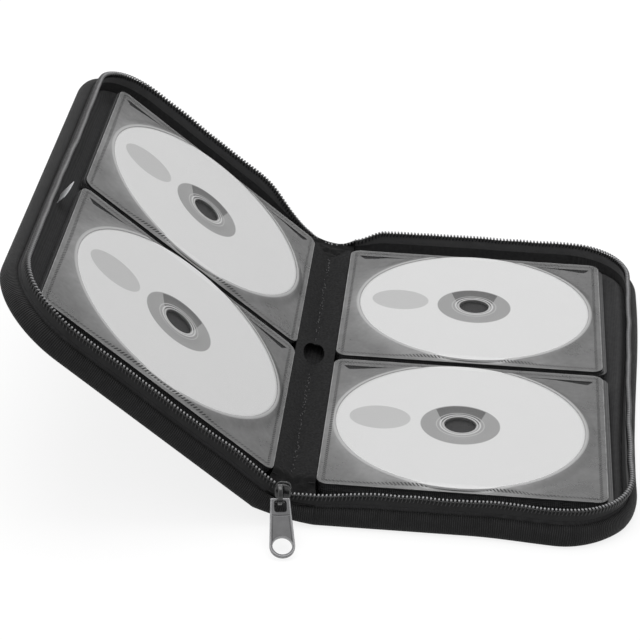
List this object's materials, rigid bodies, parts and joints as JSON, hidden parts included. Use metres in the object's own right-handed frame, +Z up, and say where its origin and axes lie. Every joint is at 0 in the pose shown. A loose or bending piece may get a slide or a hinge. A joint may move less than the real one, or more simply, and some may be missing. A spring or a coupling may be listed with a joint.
{
  "type": "zip-up disc wallet",
  "caption": "Black nylon zip-up disc wallet lying open, left half raised, clear grey sleeves holding white discs and a gunmetal pull tab",
  "frame": {"origin": "middle of the right cover's underside, on the table", "axes": "+Z up, +Y along the spine from the pull tab to the rear, +X across the right half away from the spine"},
  "size_m": [0.3004, 0.3218, 0.1091],
  "materials": {
    "cover_nylon": "matt black ribbed nylon over board",
    "binding_tape": "ribbed grosgrain binding, dark grey",
    "gusset_fabric": "smooth black woven gusset",
    "zipper_tape": "black woven zipper tape",
    "zipper_coil": "black nylon coil, semi-gloss",
    "lining_fabric": "dark grey lining over board",
    "page_film": "clear grey film, glossy",
    "sleeve_backing": "grey non-woven sheet",
    "strip_fabric": "black non-woven strip",
    "disc_white": "blank white printed face",
    "label_white": "blank white satin label",
    "slider_black": "black enamelled slider",
    "tab_gunmetal": "gunmetal plated, satin"
  },
  "bodies": {
    "right_half": {"right_cover": "cover_nylon", "right_edge_binding": "binding_tape", "right_front_disc": "disc_white", "right_front_page_stack": "page_film", "right_front_sleeve_backing": "sleeve_backing", "right_front_sleeve_film": "page_film", "right_gusset_wall": "gusset_fabric", "right_lining": "lining_fabric", "right_rear_disc": "disc_white", "right_rear_page_stack": "page_film", "right_rear_sleeve_backing": "sleeve_backing", "right_rear_sleeve_film": "page_film", "right_zipper_coil": "zipper_coil", "right_zipper_tape": "zipper_tape", "zipper_slider": "slider_black"},
    "spine": {"binding_strip": "strip_fabric", "front_spine_end": "binding_tape", "rear_spine_end": "binding_tape", "spine_panel": "cover_nylon", "stitched_page_core": "strip_fabric"},
    "left_half": {"care_label": "label_white", "left_cover": "cover_nylon", "left_edge_binding": "binding_tape", "left_front_disc": "disc_white", "left_front_page_stack": "page_film", "left_front_sleeve_backing": "sleeve_backing", "left_front_sleeve_film": "page_film", "left_gusset_wall": "gusset_fabric", "left_lining": "lining_fabric", "left_rear_disc": "disc_white", "left_rear_page_stack": "page_film", "left_rear_sleeve_backing": "sleeve_backing", "left_rear_sleeve_film": "page_film", "left_zipper_coil": "zipper_coil", "left_zipper_tape": "zipper_tape"},
    "pull_tab": {"pull_tab": "tab_gunmetal"}
  },
  "joints": [
    {"name": "spine_fold", "type": "hinge", "parent": "right_half", "child": "spine", "pos_m": [-0.07375, 0, 0.006], "axis": [0, 1, 0], "range_deg": [-12.8, 77.2], "deforming": ["binding_strip", "front_spine_end", "rear_spine_end"]},
    {"name": "left_fold", "type": "hinge", "parent": "spine", "child": "left_half", "pos_m": [-0.09481, 0, 0.01078], "axis": [0, 1, 0], "range_deg": [-24.5, 65.5], "deforming": ["binding_strip", "front_spine_end", "rear_spine_end"]},
    {"name": "tab_swing", "type": "hinge", "parent": "right_half", "child": "pull_tab", "pos_m": [-0.08248, -0.15008, 0.0172], "axis": [-0.9877, -0.1564, 0], "range_deg": [-1, 120]}
  ]
}
